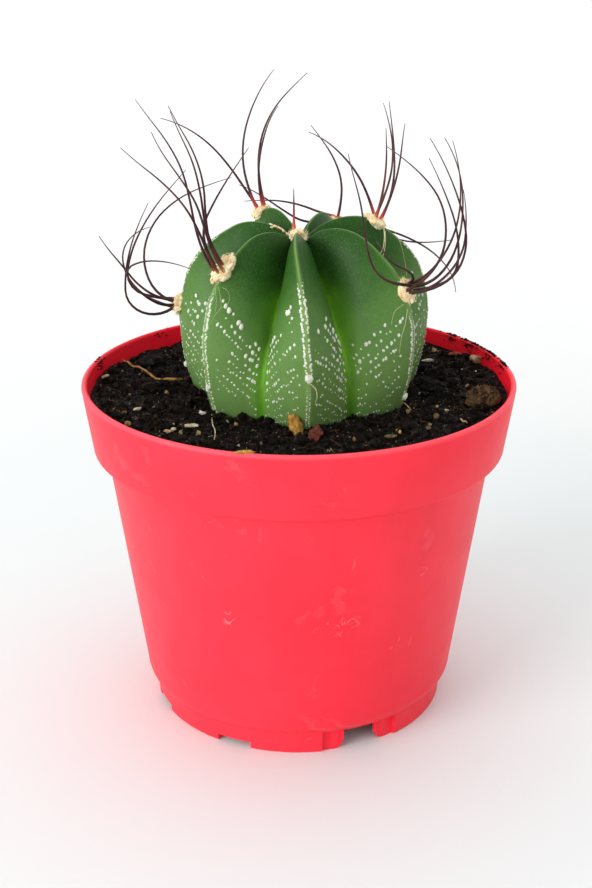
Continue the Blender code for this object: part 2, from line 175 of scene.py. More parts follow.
def blend(tree, factor, first, second, how="MIX"):
    made = node(tree, "Mix", (("data_type", "RGBA"), ("blend_type", how)))
    for index, value in ((0, factor), (6, first), (7, second)):
        if isinstance(value, bpy.types.NodeSocket):
            tree.links.new(value, made.inputs[index])
        elif isinstance(value, tuple):
            made.inputs[index].default_value = (*value, 1.0)
        else:
            made.inputs[index].default_value = value
    return made.outputs[2]


def bump(tree, shader, height, distance, strength=1.0):
    made = node(tree, "Bump", Height=height, Distance=distance, Strength=strength)
    tree.links.new(made.outputs["Normal"], shader.inputs["Normal"])


# Pot

pot = {  # millimetres from the table up, and degrees round from the front
    "height": 83.8, "rimRadius": 52.5, "wall": 1.4, "collarHeight": 16.2, "collarDraft": 2.3, "collarStep": 3.0,
    "baseRadius": 39.1, "baseCorner": 3.6, "footRadius": 36.5, "footWall": 1.8, "footHeight": 6.3, "floor": 1.6,
    "notches": (24.5, 204.5), "notchWidth": 8.2, "notchHeight": 5.1, "notchFlare": 2.6,
    "earSpread": 31.0, "earRecess": 0.8,
    "lowNotches": (-68.5, -25.5, 111.5, 154.5), "lowNotchSpread": 14.0, "lowNotchHeight": 1.8,
    "drains": 6, "drainRadius": 3.5, "drainCircle": 26.0,
    "steps": 192, "edgeRound": 0.35,
    "colour": (0.93, 0.034, 0.060), "deepColour": (0.76, 0.014, 0.030), "insideColour": (0.96, 0.004, 0.022),
    "lipHighlightColour": (1.0, 0.13, 0.17), "scuffColour": (1.0, 0.30, 0.33),
}


def potInside():
    # the inner wall from the rim down: radius and height
    shelf = pot["height"] - pot["collarHeight"] + pot["wall"]
    collar = pot["rimRadius"] - pot["collarDraft"]
    return [(pot["rimRadius"] - pot["wall"], pot["height"] - pot["wall"] / 2),
            (collar - pot["wall"], shelf),
            (collar - pot["collarStep"] - pot["wall"], shelf),
            (pot["baseRadius"] - pot["wall"], pot["footHeight"] + pot["baseCorner"]),
            (pot["baseRadius"] - pot["baseCorner"], pot["footHeight"] + pot["floor"])]


def potOutline():
    inFoot = pot["footRadius"] - pot["footWall"]
    outline = [(0, pot["footHeight"]), (inFoot, pot["footHeight"]), (inFoot, 0), (pot["footRadius"], 0)]
    for i in range(7):
        turn = math.pi / 2 * i / 6
        outline.append((pot["footRadius"] + 0.3 + (pot["baseRadius"] - pot["footRadius"] - 0.3) * math.sin(turn),
                        pot["footHeight"] + pot["baseCorner"] * (1 - math.cos(turn))))
    collarLow = pot["height"] - pot["collarHeight"]
    collar = pot["rimRadius"] - pot["collarDraft"]
    outline += [(collar - pot["collarStep"], collarLow), (collar, collarLow)]
    middle, half = pot["rimRadius"] - pot["wall"] / 2, pot["wall"] / 2
    for i in range(9):
        turn = math.pi * i / 8
        outline.append((middle + half * math.cos(turn), pot["height"] - half + half * math.sin(turn)))
    return outline + potInside()[1:] + [(0, pot["footHeight"] + pot["floor"])]


def spunShape(outline, steps):
    bm = bmesh.new()
    verts = [bm.verts.new((r * mm, 0, z * mm)) for r, z in outline]
    edges = [bm.edges.new(pair) for pair in zip(verts, verts[1:])]
    bmesh.ops.spin(bm, geom=verts + edges, cent=(0, 0, 0), axis=(0, 0, 1), angle=math.tau, steps=steps,
                   use_merge=True)
    bmesh.ops.remove_doubles(bm, verts=bm.verts, dist=0.01 * mm)
    bmesh.ops.recalc_face_normals(bm, faces=bm.faces)
    return bm


def ringCutter(bm, inner, outer, low, high, degrees, spread):
    # a closed piece of a ring, spun from its cross-section
    corners = [around(r * mm, degrees - spread / 2, z * mm)
               for r, z in ((inner, low), (outer, low), (outer, high), (inner, high))]
    verts = [bm.verts.new(corner) for corner in corners]
    edges = [bm.edges.new((verts[i], verts[(i + 1) % 4])) for i in range(4)]
    bmesh.ops.spin(bm, geom=verts + edges, cent=(0, 0, 0), axis=(0, 0, 1), angle=math.radians(spread),
                   steps=round(spread))


def archCutter(bm, degrees):
    # the outline of a notch whose feet flare out, pushed through the foot
    half, flare = pot["notchWidth"] / 2, pot["notchFlare"]
    right = [(half, pot["notchHeight"])]
    for i in range(9):
        turn = math.pi / 2 * i / 8
        right.append((half + flare * (1 - math.cos(turn)), flare * (1 - math.sin(turn))))
    right.append((half + flare, -flare))
    outline = right + [(-x, z) for x, z in reversed(right)]
    face = bm.faces.new([bm.verts.new((x * mm, -(pot["footRadius"] - 5) * mm, z * mm)) for x, z in outline])
    pushed = bmesh.ops.extrude_face_region(bm, geom=[face], use_keep_orig=True)["geom"]
    moved = [thing for thing in pushed if isinstance(thing, bmesh.types.BMVert)]
    bmesh.ops.translate(bm, vec=(0, -8 * mm, 0), verts=moved)
    bmesh.ops.rotate(bm, cent=(0, 0, 0), matrix=Matrix.Rotation(math.radians(degrees), 3, "Z"),
                     verts=moved + list(face.verts))


def cutAway(piece, cutters):
    helpers = []
    for bm in cutters:
        bmesh.ops.holes_fill(bm, edges=bm.edges, sides=0)
        bmesh.ops.recalc_face_normals(bm, faces=bm.faces)
        helper = meshPiece("cutter", bm, piece.data.materials[0])
        helpers.append(helper)
        boolean = piece.modifiers.new("cut", "BOOLEAN")
        boolean.operation = "DIFFERENCE"
        boolean.solver = "EXACT"
        boolean.object = helper
    finished = bpy.data.meshes.new_from_object(piece.evaluated_get(bpy.context.evaluated_depsgraph_get()))
    piece.modifiers.clear()
    piece.data = finished
    for helper in helpers:
        bpy.data.objects.remove(helper)


def potPlastic():
    made, tree, shader = newMaterial("potPlastic", Roughness=0.45, Specular_IOR_Level=0.18)
    space = objectSpace(tree)
    patches = ramp(tree, clouds(tree, space, 38, 4, 0.55), (0.35, 0.0), (0.75, 1.0))
    colour = blend(tree, patches, pot["colour"], pot["deepColour"])
    colour = blend(tree, 0.55, pot["colour"], colour)
    # a pale painted highlight on the lip, and painted shadow in the crease under the collar
    z = node(tree, "SeparateXYZ", Vector=space).outputs["Z"]
    up = node(tree, "MapRange", Value=z, From_Max=pot["height"] * mm).outputs["Result"]
    colour = blend(tree, ramp(tree, up, (0.987, 0.0), (0.995, 0.50)), colour, pot["lipHighlightColour"])
    # painted shadow: a thin darker band on the wall just under the collar
    crease = 1 - pot["collarHeight"] / pot["height"]
    colour = blend(tree, ramp(tree, up, (crease - 0.025, 0.0), (crease - 0.004, 0.5), (crease + 0.002, 0.0)), colour,
                   pot["deepColour"])
    # painted shade and bounced light: the inner wall is painted a more saturated red, as the pot's red light bouncing
    # inside it looks
    inside = node(tree, "Attribute", (("attribute_name", "inside"),)).outputs["Fac"]
    colour = blend(tree, inside, colour, pot["insideColour"])
    # rubbed places, and small curled scratches where a slow pattern runs high
    rubs = ramp(tree, clouds(tree, space, 75, 6, 0.62, 0.4), (0.62, 0.0), (0.80, 0.30))
    curls = ramp(tree, clouds(tree, space, 150, 1, 0.5, 0.9), (0.478, 0.0), (0.5, 0.6), (0.522, 0.0))
    where = ramp(tree, clouds(tree, space, 85, 4, 0.7), (0.61, 0.0), (0.69, 1.0))
    worn = blend(tree, 1.0, rubs, blend(tree, 1.0, curls, where, "MULTIPLY"), "LIGHTEN")
    tree.links.new(blend(tree, worn, colour, pot["scuffColour"]), shader.inputs["Base Color"])
    sheen = blend(tree, clouds(tree, space, 160, 5, 0.6), (0.34, 0.34, 0.34), (0.54, 0.54, 0.54))
    tree.links.new(blend(tree, worn, sheen, (0.68, 0.68, 0.68)), shader.inputs["Roughness"])
    skin = blend(tree, 0.3, clouds(tree, space, 2600, 2, 0.5), clouds(tree, space, 120, 3, 0.5))
    bump(tree, shader, skin, 0.00006, 0.6)
    return made


def makePot():
    bm = spunShape(potOutline(), pot["steps"])
    corners = [edge for edge in bm.edges if len(edge.link_faces) == 2 and edge.calc_face_angle(0) > math.radians(28)
               and abs(edge.verts[0].co.z - edge.verts[1].co.z) < 0.01 * mm]
    bmesh.ops.bevel(bm, geom=corners, offset=pot["edgeRound"] * mm, offset_type="OFFSET", affect="EDGES",
                    segments=3, profile=0.5, material=-1, clamp_overlap=True)
    # marks the inner wall, which the plastic paints a more saturated red as painted shade and bounced light
    inside = bm.verts.layers.float.new("inside")
    bm.normal_update()
    for vert in bm.verts:
        vert[inside] = 1.0 if vert.normal.dot(vert.co * Vector((1, 1, 0))) < -0.3 * vert.co.xy.length else 0.0
    piece = meshPiece("potPiece", bm, potPlastic())
    ears, notches, lows, drains = bmesh.new(), bmesh.new(), bmesh.new(), bmesh.new()
    foot = pot["footRadius"]
    for degrees in pot["notches"]:
        ringCutter(ears, foot - pot["earRecess"], foot + 2, -2, pot["footHeight"] - 0.7, degrees, pot["earSpread"])
        archCutter(notches, degrees)
    for degrees in pot["lowNotches"]:
        ringCutter(lows, foot - 4, foot + 2, -2, pot["lowNotchHeight"], degrees, pot["lowNotchSpread"])
    for i in range(pot["drains"]):
        hole = around(pot["drainCircle"] * mm, pot["notches"][0] + 360 * i / pot["drains"], pot["footHeight"] * mm)
        bmesh.ops.create_cone(drains, cap_ends=True, segments=40, radius1=pot["drainRadius"] * mm,
                              radius2=pot["drainRadius"] * mm, depth=8 * mm, matrix=Matrix.Translation(hole))
    cutAway(piece, (ears, notches, lows, drains))
    piece.data.shade_smooth()
    piece.data.set_sharp_from_angle(angle=math.radians(42))
    stand(piece, "pot_plastic", "pot")


# Cactus body

body = {  # millimetres, degrees, and shares of the radius and height
    "x": 0.3, "y": 4.5, "radius": 30.0, "height": 42.0, "crown": 0.885, "rootDepth": 34.0,
    "crest": ((0.09, 0.92), (0.18, 0.965), (0.33, 0.995), (0.48, 0.985), (0.60, 0.94), (0.72, 0.875),
              (0.83, 0.80), (0.92, 0.70), (0.97, 0.585), (1.0, 0.46), (0.995, 0.34), (0.97, 0.18), (0.90, 0.0)),
    "furrow": ((0.04, 0.90), (0.10, 0.865), (0.17, 0.815), (0.24, 0.755), (0.31, 0.685), (0.38, 0.61),
               (0.46, 0.53), (0.54, 0.45), (0.61, 0.375), (0.67, 0.295), (0.715, 0.205), (0.74, 0.10), (0.74, 0.0)),
    "buried": ((1.0, 0.0), (0.86, 0.12), (0.58, 0.24), (0.26, 0.36), (0.12, 0.55), (0.07, 0.85)),
    # degrees round from the front, then reach and rise against the common profile
    "ribs": {"front": (2, 1.0, 1.0), "frontRight": (60, 1.02, 1.0), "backRight": (106, 1.10, 1.02),
             "back": (156, 1.0, 1.0), "backLeft": (212, 1.0, 1.03), "left": (261, 1.0, 1.0),
             "frontLeft": (310, 0.97, 0.985)},
    # where a crest wanders off its direction: degrees, read evenly from crown to soil
    "wander": {"front": (-10, -9, -8, -7, -5.5, -3.5, -1.9, -0.7, 0.3, 1.0, 1.8, 1.8, 1.5)},
    "columnsPerRib": 32, "rows": 128, "buriedRows": 14, "crestRound": (0.085, 0.03), "bulge": 0.045,
    "flankColour": (0.046, 0.138, 0.020), "furrowColour": (0.230, 0.560, 0.012), "ridgeColour": (0.21, 0.34, 0.10),
    "innerFurrowColour": (0.125, 0.360, 0.014), "furrowFootShadeColour": (0.055, 0.200, 0.010),
    "crestEdgeColour": (0.085, 0.21, 0.045), "shadeColour": (0.014, 0.066, 0.006), "hollowShadeColour": (0.008, 0.040, 0.005),
    "mottleColour": (0.075, 0.20, 0.030), "poreColour": (0.17, 0.29, 0.12), "lowLitColour": (0.155, 0.285, 0.080),
}
soilLevel = pot["height"] - 5.3
axis = Vector((body["x"] * mm, body["y"] * mm, 0))
lastPlace = len(body["crest"]) - 1
for rib, wander in body["wander"].items():
    body["ribs"][rib] += (wander,)
ribOrder = sorted(body["ribs"].values())


def smoothPoint(points, place):
    # a point on the smooth curve through the points, at a place counted in points
    place = min(max(place, 0.0), len(points) - 1.0)
    i = min(int(place), len(points) - 2)
    t = place - i
    a, b, c, d = [Vector(points[min(max(k, 0), len(points) - 1)]) for k in (i - 1, i, i + 1, i + 2)]
    return 0.5 * (2 * b + (c - a) * t + (2 * a - 5 * b + 4 * c - d) * t ** 2 + (3 * b - a - 3 * c + d) * t ** 3)


def crestDegrees(rib, place):
    # the direction of a rib's crest, which may wander a little on its way down
    return rib[0] + (listed(rib[3], place / lastPlace) if len(rib) > 3 else 0.0)


def spanDegrees(before, after, share, place):
    # the direction a share of the way from one crest to the next, with the furrow always half way
    first, last = crestDegrees(before, place), crestDegrees(after, place)
    middle = before[0] + (after[0] - before[0]) % 360 / 2
    last += 360 if last < first else 0
    if share < 0.5:
        return first + (middle - first) * share * 2
    return middle + (last - middle) * (share * 2 - 1)


def ribSpan(degrees, place):
    for before, after in zip(ribOrder, ribOrder[1:] + ribOrder[:1]):
        first, last = crestDegrees(before, place), crestDegrees(after, place)
        width, way = (last - first) % 360, (degrees - first) % 360
        if way <= width:
            half = (before[0] + (after[0] - before[0]) % 360 / 2 - first) % 360
            return before, after, way / half / 2 if way < half else 0.5 + (way - half) / (width - half) / 2
    return ribOrder[-1], ribOrder[0], 0.0


def crestShare(share, place):
    # how far up a rib's flank a direction lies: 0 in the furrow, 1 on the crest, rounded over at the top
    plain = 1 - 2 * min(share, 1 - share)
    soft = body["crestRound"][0] + (body["crestRound"][1] - body["crestRound"][0]) * min(max((place - 3) / 5, 0), 1)
    away = (math.hypot(1 - plain, soft) - soft) / (math.hypot(1, soft) - soft)
    raised = 1 - away
    return raised + body["bulge"] * math.sin(math.pi * raised)


def bodyRadiusHeight(degrees, place):
    before, after, share = ribSpan(degrees, place)
    reach = before[1] + (after[1] - before[1]) * share
    rise = before[2] + (after[2] - before[2]) * share
    point = smoothPoint(body["furrow"], place).lerp(smoothPoint(body["crest"], place), crestShare(share, place))
    return point.x * reach * body["radius"], point.y * rise * body["height"]


def bodyPoint(degrees, place, out=0.0):
    radius, height = bodyRadiusHeight(degrees, place)
    point = around(radius * mm, degrees, (soilLevel + height) * mm) + axis
    return point + bodyNormal(degrees, place) * out if out else point


def bodyNormal(degrees, place):
    low = max(place - 0.12, 0.0)
    up = bodyPoint(degrees, low) - bodyPoint(degrees, low + 0.24)
    side = bodyPoint(degrees + 0.8, place) - bodyPoint(degrees - 0.8, place)
    return side.cross(up).normalized()


def outlineRadius(degrees):
    return bodyRadiusHeight(degrees, lastPlace)[0]


def buriedPoint(degrees, depthPlace, grow=0.0):
    # below the soil, at a place counted through the buried table
    share, depth = smoothPoint(body["buried"], depthPlace)
    radius = outlineRadius(degrees) * share + grow
    return around(radius * mm, degrees, (soilLevel - depth * body["rootDepth"]) * mm) + axis


def cactusSkin():
    made, tree, shader = newMaterial("cactusSkin", Roughness=0.42, Specular_IOR_Level=0.13, Coat_Weight=0.04,
                                     Coat_Roughness=0.25, Subsurface_Weight=0.10,
                                     Subsurface_Radius=(0.0012, 0.0022, 0.0006))
    space = objectSpace(tree)
    ridge = node(tree, "Attribute", (("attribute_name", "ridge"),)).outputs["Fac"]
    height = node(tree, "Attribute", (("attribute_name", "height"),)).outputs["Fac"]
    # the paler crest edge stop is partly the crest's own tone, partly a painted highlight
    colour = ramp(tree, ridge, (0.0, body["furrowColour"]), (0.12, body["innerFurrowColour"]),
                  (0.38, body["flankColour"]), (0.91, body["flankColour"]), (0.945, body["crestEdgeColour"]))
    broad = ramp(tree, clouds(tree, space, 70, 3, 0.5), (0.40, 0.0), (0.66, 1.0))
    colour = blend(tree, blend(tree, 0.62, (0.0, 0.0, 0.0), broad), colour, body["shadeColour"])
    mottle = ramp(tree, clouds(tree, space, 900, 4, 0.65), (0.38, 0.0), (0.62, 1.0))
    colour = blend(tree, blend(tree, 0.30, (0, 0, 0), mottle), colour, body["mottleColour"])
    pores = ramp(tree, clouds(tree, space, 3300, 2, 0.6), (0.56, 0.0), (0.70, 0.34))
    # painted light and shade: paler near the soil where the front light falls, darker over the upper part, and darker
    # still deep between the ribs at the top
    low = blend(tree, 1.0, ramp(tree, height, (0.0, 0.70), (0.24, 0.60), (0.56, 0.0)),
                ramp(tree, ridge, (0.04, 0.25), (0.22, 1.0)), "MULTIPLY")
    colour = blend(tree, low, colour, body["lowLitColour"])
    # painted shade: the upper part of the body is darkened towards the shade colour
    young = blend(tree, 1.0, ramp(tree, height, (0.42, 0.0), (0.64, 0.82), (0.95, 0.92)),
                  ramp(tree, ridge, (0.04, 0.30), (0.24, 1.0)), "MULTIPLY")
    colour = blend(tree, young, colour, body["shadeColour"])
    # painted shade: darker deep between the ribs at the top, where little light reaches
    hollow = blend(tree, 1.0, ramp(tree, ridge, (0.0, 0.85), (0.30, 0.7), (0.62, 0.0)),
                   ramp(tree, height, (0.58, 0.0), (0.74, 1.0)), "MULTIPLY")
    colour = blend(tree, hollow, colour, body["hollowShadeColour"])
    colour = blend(tree, pores, colour, body["poreColour"])
    # painted shade: darker deep in the furrows near the soil
    furrowFoot = blend(tree, 1.0, ramp(tree, ridge, (0.0, 0.9), (0.14, 0.0)),
                       ramp(tree, height, (0.05, 1.0), (0.34, 0.0)), "MULTIPLY")
    colour = blend(tree, furrowFoot, colour, body["furrowFootShadeColour"])
    # the crests painted paler: partly their own paler tone, partly a painted highlight where light catches the crest
    # edges
    colour = blend(tree, ramp(tree, ridge, (0.93, 0.0), (0.97, 0.30), (1.0, 0.85)), colour, body["ridgeColour"])
    tree.links.new(colour, shader.inputs["Base Color"])
    sheen = blend(tree, clouds(tree, space, 420, 4, 0.6), (0.33, 0.33, 0.33), (0.52, 0.52, 0.52))
    tree.links.new(sheen, shader.inputs["Roughness"])
    grain = blend(tree, 0.35, clouds(tree, space, 2200, 3, 0.6), clouds(tree, space, 260, 3, 0.5))
    bump(tree, shader, grain, 0.00016, 0.8)
    return made


def makeBody():
    columns, rows = body["columnsPerRib"] * len(ribOrder), body["rows"] + body["buriedRows"]
    bm = bmesh.new()
    bmesh.ops.create_uvsphere(bm, u_segments=columns, v_segments=rows, radius=1.0)
    ridge = bm.verts.layers.float.new("ridge")
    height = bm.verts.layers.float.new("height")
    for vert in bm.verts:
        row = round(math.acos(max(-1.0, min(1.0, vert.co.z))) / math.pi * rows)
        column = round(math.atan2(vert.co.y, vert.co.x) / math.tau * columns) % columns
        before = ribOrder[column // body["columnsPerRib"]]
        after = ribOrder[(column // body["columnsPerRib"] + 1) % len(ribOrder)]
        share = column % body["columnsPerRib"] / body["columnsPerRib"]
        place = min(lastPlace * (row - 1) / (body["rows"] - 1), lastPlace)
        degrees = spanDegrees(before, after, share, max(place, 0.0))
        if row == 0:
            vert.co = axis + Vector((0, 0, (soilLevel + body["crown"] * body["height"]) * mm))
        elif row == rows:
            vert.co = axis + Vector((0, 0, (soilLevel - body["rootDepth"]) * mm))
        elif row <= body["rows"]:
            vert.co = bodyPoint(degrees, place)
            vert.co += bodyNormal(degrees, place) * wobble(vert.co, 9 * mm) * 0.22 * mm
            vert[height] = 1 - place / lastPlace
        else:
            vert.co = buriedPoint(degrees, (len(body["buried"]) - 1) * (row - body["rows"]) / body["buriedRows"])
        vert[ridge] = 1 - 2 * min(share, 1 - share)
    bmesh.ops.recalc_face_normals(bm, faces=bm.faces)
    stand(meshPiece("cactusPiece", bm, cactusSkin()), "cactus_skin", "cactus_body")


# White flecks on the flanks and along the crests

flecks = {
    "firstRow": 7.2, "lastRow": 11.9, "gapAtTop": 0.62, "gapAtSoil": 0.34,
    "sizeAtTop": 0.50, "sizeAtSoil": 0.18, "thick": 0.42, "slope": 2.1, "step": 0.066,
    "crestLines": (("front", 5.9, 10.1, 0.34), ("front", 10.6, 11.9, 0.17), ("frontLeft", 6.9, 11.9, 0.28),
                   ("frontRight", 8.0, 11.6, 0.27), ("left", 4.5, 8.2, 0.27), ("left", 9.6, 11.9, 0.22),
                   ("backRight", 5.2, 11.8, 0.26), ("back", 6.2, 11.8, 0.24), ("backLeft", 5.4, 11.8, 0.26)),
    "colour": (0.78, 0.80, 0.70),
}


def fleck(bm, degrees, place, size, chance, long=1.0):
    point, out = bodyPoint(degrees, place), bodyNormal(degrees, place)
    downhill = (bodyPoint(degrees, place + 0.2) - point).normalized()
    sideways = out.cross(downhill)
    spin = chance.uniform(-0.5, 0.5)
    first = (downhill * math.cos(spin) + sideways * math.sin(spin)).normalized()
    turn = Matrix((first, out.cross(first), out)).transposed()
    ball, seed = bmesh.new(), chance.uniform(0, 50)
    bmesh.ops.create_uvsphere(ball, u_segments=7, v_segments=5, radius=1.0)
    for vert in ball.verts:
        vert.co *= 1 + 0.3 * wobble(vert.co, 0.8, seed)
    bmesh.ops.scale(ball, vec=(size * long * mm, size * mm, size * flecks["thick"] * mm), verts=ball.verts)
    addTo(bm, ball, Matrix.Translation(point + out * size * 0.10 * mm) @ turn.to_4x4())


def makeFlecks():
    chance = random.Random(31)
    for number, (before, after) in enumerate(zip(ribOrder, ribOrder[1:] + ribOrder[:1])):
        bm = bmesh.new()
        for side in (0, 1):
            row = flecks["firstRow"] + chance.uniform(0.0, 0.4)
            while row < flecks["lastRow"] + 0.4:
                depth = min((row - flecks["firstRow"]) / (flecks["lastRow"] - flecks["firstRow"]), 1.0)
                size = flecks["sizeAtTop"] + (flecks["sizeAtSoil"] - flecks["sizeAtTop"]) * depth ** 0.85
                up = 0.88 - chance.uniform(0, 0.12)
                while up > 0.12:
                    share = (1 - up) / 2 if side == 0 else 1 - (1 - up) / 2
                    place = row - 0.35 + flecks["slope"] * (1 - 0.55 * depth) * (0.7 - up) + chance.gauss(0, 0.04)
                    degrees = spanDegrees(before, after, share, place)
                    # the rows are broken where a slow noise runs low, more so at the top
                    gapHere = wobble((degrees / 9, place * 1.3, side * 5), 1.0, number * 3.3 + 1.4)
                    thinTop = min(max((place - flecks["firstRow"] + 0.6) / 1.6, 0.0), 1.0)
                    if 6.7 < place < 11.95 and gapHere > 0.24 - 0.66 * thinTop and chance.random() < 0.86:
                        fleck(bm, degrees, place, size * chance.uniform(0.5, 1.2), chance, chance.uniform(0.9, 1.6))
                    up -= flecks["step"] * (1 - 0.38 * depth) * chance.uniform(0.6, 1.5)
                gap = flecks["gapAtTop"] + (flecks["gapAtSoil"] - flecks["gapAtTop"]) * depth
                row += gap * chance.uniform(0.8, 1.2)
        stand(meshPiece(f"flecks{number + 1}", bm, fleckWool), "wool")


def makeCrestFlecks():
    # two crowded lines of small flecks along each crest: rib, first and last place, size
    chance = random.Random(5)
    bm = bmesh.new()
    for rib, first, last, size in flecks["crestLines"]:
        place = first
        while place < last:
            degrees = crestDegrees(body["ribs"][rib], place)
            fade = min(1.0, (place - first + 0.3) / 0.8)
            for side in (-1, 1):
                if chance.random() < 0.95:
                    turn = degrees + side * chance.uniform(0.8, 1.5) * (1.0 if size > 0.2 else 0.6)
                    fleck(bm, turn, min(place + chance.gauss(0, 0.02), 11.97), size * fade * chance.uniform(0.6, 1.2),
                          chance, 1.3)
            place += size * chance.uniform(0.30, 0.46)
    stand(meshPiece("crestFlecks", bm, fleckWool), "wool")


def fleckFinish():
    made, tree, shader = newMaterial("fleckWool", Roughness=0.9, Sheen_Weight=0.3)
    colour = blend(tree, clouds(tree, objectSpace(tree), 1500, 3, 0.6), flecks["colour"], (0.50, 0.58, 0.42))
    tree.links.new(colour, shader.inputs["Base Color"])
    bump(tree, shader, clouds(tree, objectSpace(tree), 5200, 2, 0.6), 0.00008)
    return made


# Wool pads and spines

spineShape = {"base": 0.29, "tip": 0.085, "points": 26, "ring": 1.25, "youngStout": 1.5}  # millimetres and shares
# rib, place along the crest, pad (across, along, thick) in mm, spines, and how red their bases are.
# A spine is its length, its leans clockwise from upright, and its tilts towards the front at base and tip.
areoles = {
    "left": ("left", 8.8, (3.2, 4.6, 2.6), (
        (35, (-86, -54, -38, -28, 60, 84, 98, 110), (32, 12)),
        (26, (-84, -52, -32, -34, -25), (10, 20)),
        (46, (-90, -70, 10, 24, 33, 40, 42), (5, 12)),
        (46, (-82, -24, 16, 48, 69, 75), (-20, -5)),
        (30, (-80, -66, -40, -8, 45, 84), (-10, -25)),
        (40, (-120, -62, 2, 13, 22, 28), (25, 5)),
    ), "dark"),
    "front_left": ("frontLeft", 5.7, (4.6, 6.6, 3.2), (
        (38, (-26, -14, -13, -30, -32, -20), (26, 12)),
        (39, (-28, -14, -4, -11, -24, -20), (26, 4)),
        (39, (-28, -6, 0, -15, -28, -24), (10, 12)),
        (30, (-30, -12, 26, 31, 35, 36), (2, -12)),
        (43, (-30, -16, -8, -12, -28, -38, -36), (15, -8)),
        (38, (-25, -16, -25, -40, -49, -44), (22, 10)),
    ), "brown"),
    "back_left": ("backLeft", 3.9, (4.2, 4.6, 2.8), (
        (35, (-24, -15, 2, 17, 28, 40), (-5, -12)),
        (26, (-12, -2, 10, 18, 36), (8, 14)),
        (36, (-16, -6, 9, 28, 44, 48), (-15, 0)),
        (33, (-36, -34, -42, -58, -76), (-10, 5)),
    ), "red"),
    "back": ("back", 5.0, (3.6, 4.4, 2.6), (
        (26, (-115, -88, -58, -55, -58, -70), (-5, 5)),
        (24, (-82, -72, -82, -93, -97), (-22, -10)),
        (37, (100, 104, 108, 120, 140, 176), (6, 8)),
        (30, (112, 112, 108, 90, 80), (-14, 0)),
        (26, (16, 4, -20, -35, -38), (-10, 5)),
    ), "red"),
    "back_right": ("backRight", 3.7, (5.2, 4.4, 2.6), (
        (27, (26, 18, 2, -12, -20), (-8, -5)),
        (26, (-16, -24, -38, -50, -70), (10, -5)),
        (21, (16, 10, 4, -2, -4), (0, 5)),
        (24, (22, 17, 10, 4, 7), (12, 8)),
        (28, (32, 12, -2, -7, -8), (-20, -12)),
    ), "red"),
    "front_right": ("frontRight", 7.0, (4.4, 5.0, 3.0), (
        (42, (78, 38, 16, 3, -6, -20, -33), (20, 5)),
        (37, (70, 44, 28, 12, 0, -10, -18), (-15, -20)),
        (16, (45, -45, -62, -45, -30, -38), (30, 10)),
        (40, (-80, -58, -20, -8, -10, -17, -12), (35, -5)),
        (41, (64, 38, 8, -14, -40, -52, -58), (-5, -15)),
        (49, (78, 52, 15, -10, -20, -26, -33), (32, 8)),
        (32, (75, 48, 26, 2, -6, -14), (12, 20)),
        (38, (82, 66, 4, -10, -21, -25, -28), (5, -5)),
    ), "dark"),
    "crown": ("front", 0.0, (3.4, 3.4, 2.2), (
        (10.7, (0, 0, -1), (0, 0)),
    ), "young"),
}
# old areoles low on the ribs, which have lost their spines: rib, place, pad in mm
oldAreoles = {
    "front": ("front", 10.2, (1.9, 2.1, 1.8)),
    "front_left": ("frontLeft", 11.1, (1.0, 1.9, 1.1)),
    "front_right": ("frontRight", 11.5, (1.2, 1.7, 1.3)),
    "left": ("left", 11.3, (1.0, 1.4, 1.1)),
}
spineTints = {  # colour at the base, a little above it and over most of the length, and how far the base reaches
    "red": ((0.62, 0.10, 0.04), (0.36, 0.035, 0.03), (0.058, 0.015, 0.024), 1.0),
    "young": ((0.66, 0.20, 0.05), (0.52, 0.08, 0.04), (0.15, 0.022, 0.022), 3.6),
    "brown": ((0.46, 0.20, 0.06), (0.10, 0.034, 0.018), (0.050, 0.014, 0.022), 0.9),
    "dark": ((0.08, 0.028, 0.018), (0.030, 0.010, 0.010), (0.044, 0.012, 0.019), 1.0),
}
spineTipColour = (0.10, 0.075, 0.075)
wool = {
    "colour": (0.90, 0.68, 0.34), "pale": (1.0, 0.91, 0.64), "stain": (0.56, 0.28, 0.09), "fibres": 200,
    # how much wider, longer and thicker than the bare cushion the wool stands, and how far it hangs down the rib
    "grow": {"front_left": (0.84, 1.18, 1.0), "crown": (1.2, 1.25, 1.5), "front_right": (1.0, 1.12, 1.0),
             "back_right": (1.2, 1.05, 1.0)},
    "droop": {"front_left": -0.4, "crown": 0.7, "front_right": 0.3, "back_left": 0.5},
    # single hairs that hang over the skin: thickness, then degrees, place and lift in mm
    "hairs": (
        (0.4, ((312, 6.5, 0.6), (314, 6.9, 0.9), (315, 7.3, 0.5), (313, 7.9, 0.3), (312.5, 8.2, 0.2))),
        (0.4, ((313, 6.4, 0.5), (316, 6.5, 1.0), (317, 6.9, 0.6), (315, 7.3, 0.3))),
        (0.35, ((311, 6.6, 0.7), (313, 7.1, 0.9), (313.5, 7.6, 0.4))),
        (0.9, ((58, 7.8, 0.7), (56, 8.4, 0.6), (54, 8.9, 0.3), (53, 9.6, 0.2))),
        (0.6, ((57, 7.5, 0.8), (53, 7.6, 1.2), (51, 8.1, 0.6))),
        (1.3, ((4, 10.35, 0.7), (6, 10.5, 0.9), (7, 10.8, 0.6), (6.6, 11.1, 0.3))),
        (0.7, ((5, 10.4, 0.8), (7, 10.7, 0.8), (7.5, 11.0, 0.2))),
        (2.6, ((104, 4.2, 0.9), (101, 4.5, 1.0), (98, 4.8, 0.6), (95, 4.9, 0.3))),
        (1.6, ((103, 4.4, 0.7), (98, 4.9, 0.8), (94, 5.2, 0.3))),
        (0.8, ((107, 4.5, 0.8), (103, 5.5, 0.6), (98, 6.8, 0.2))),
    ),
}


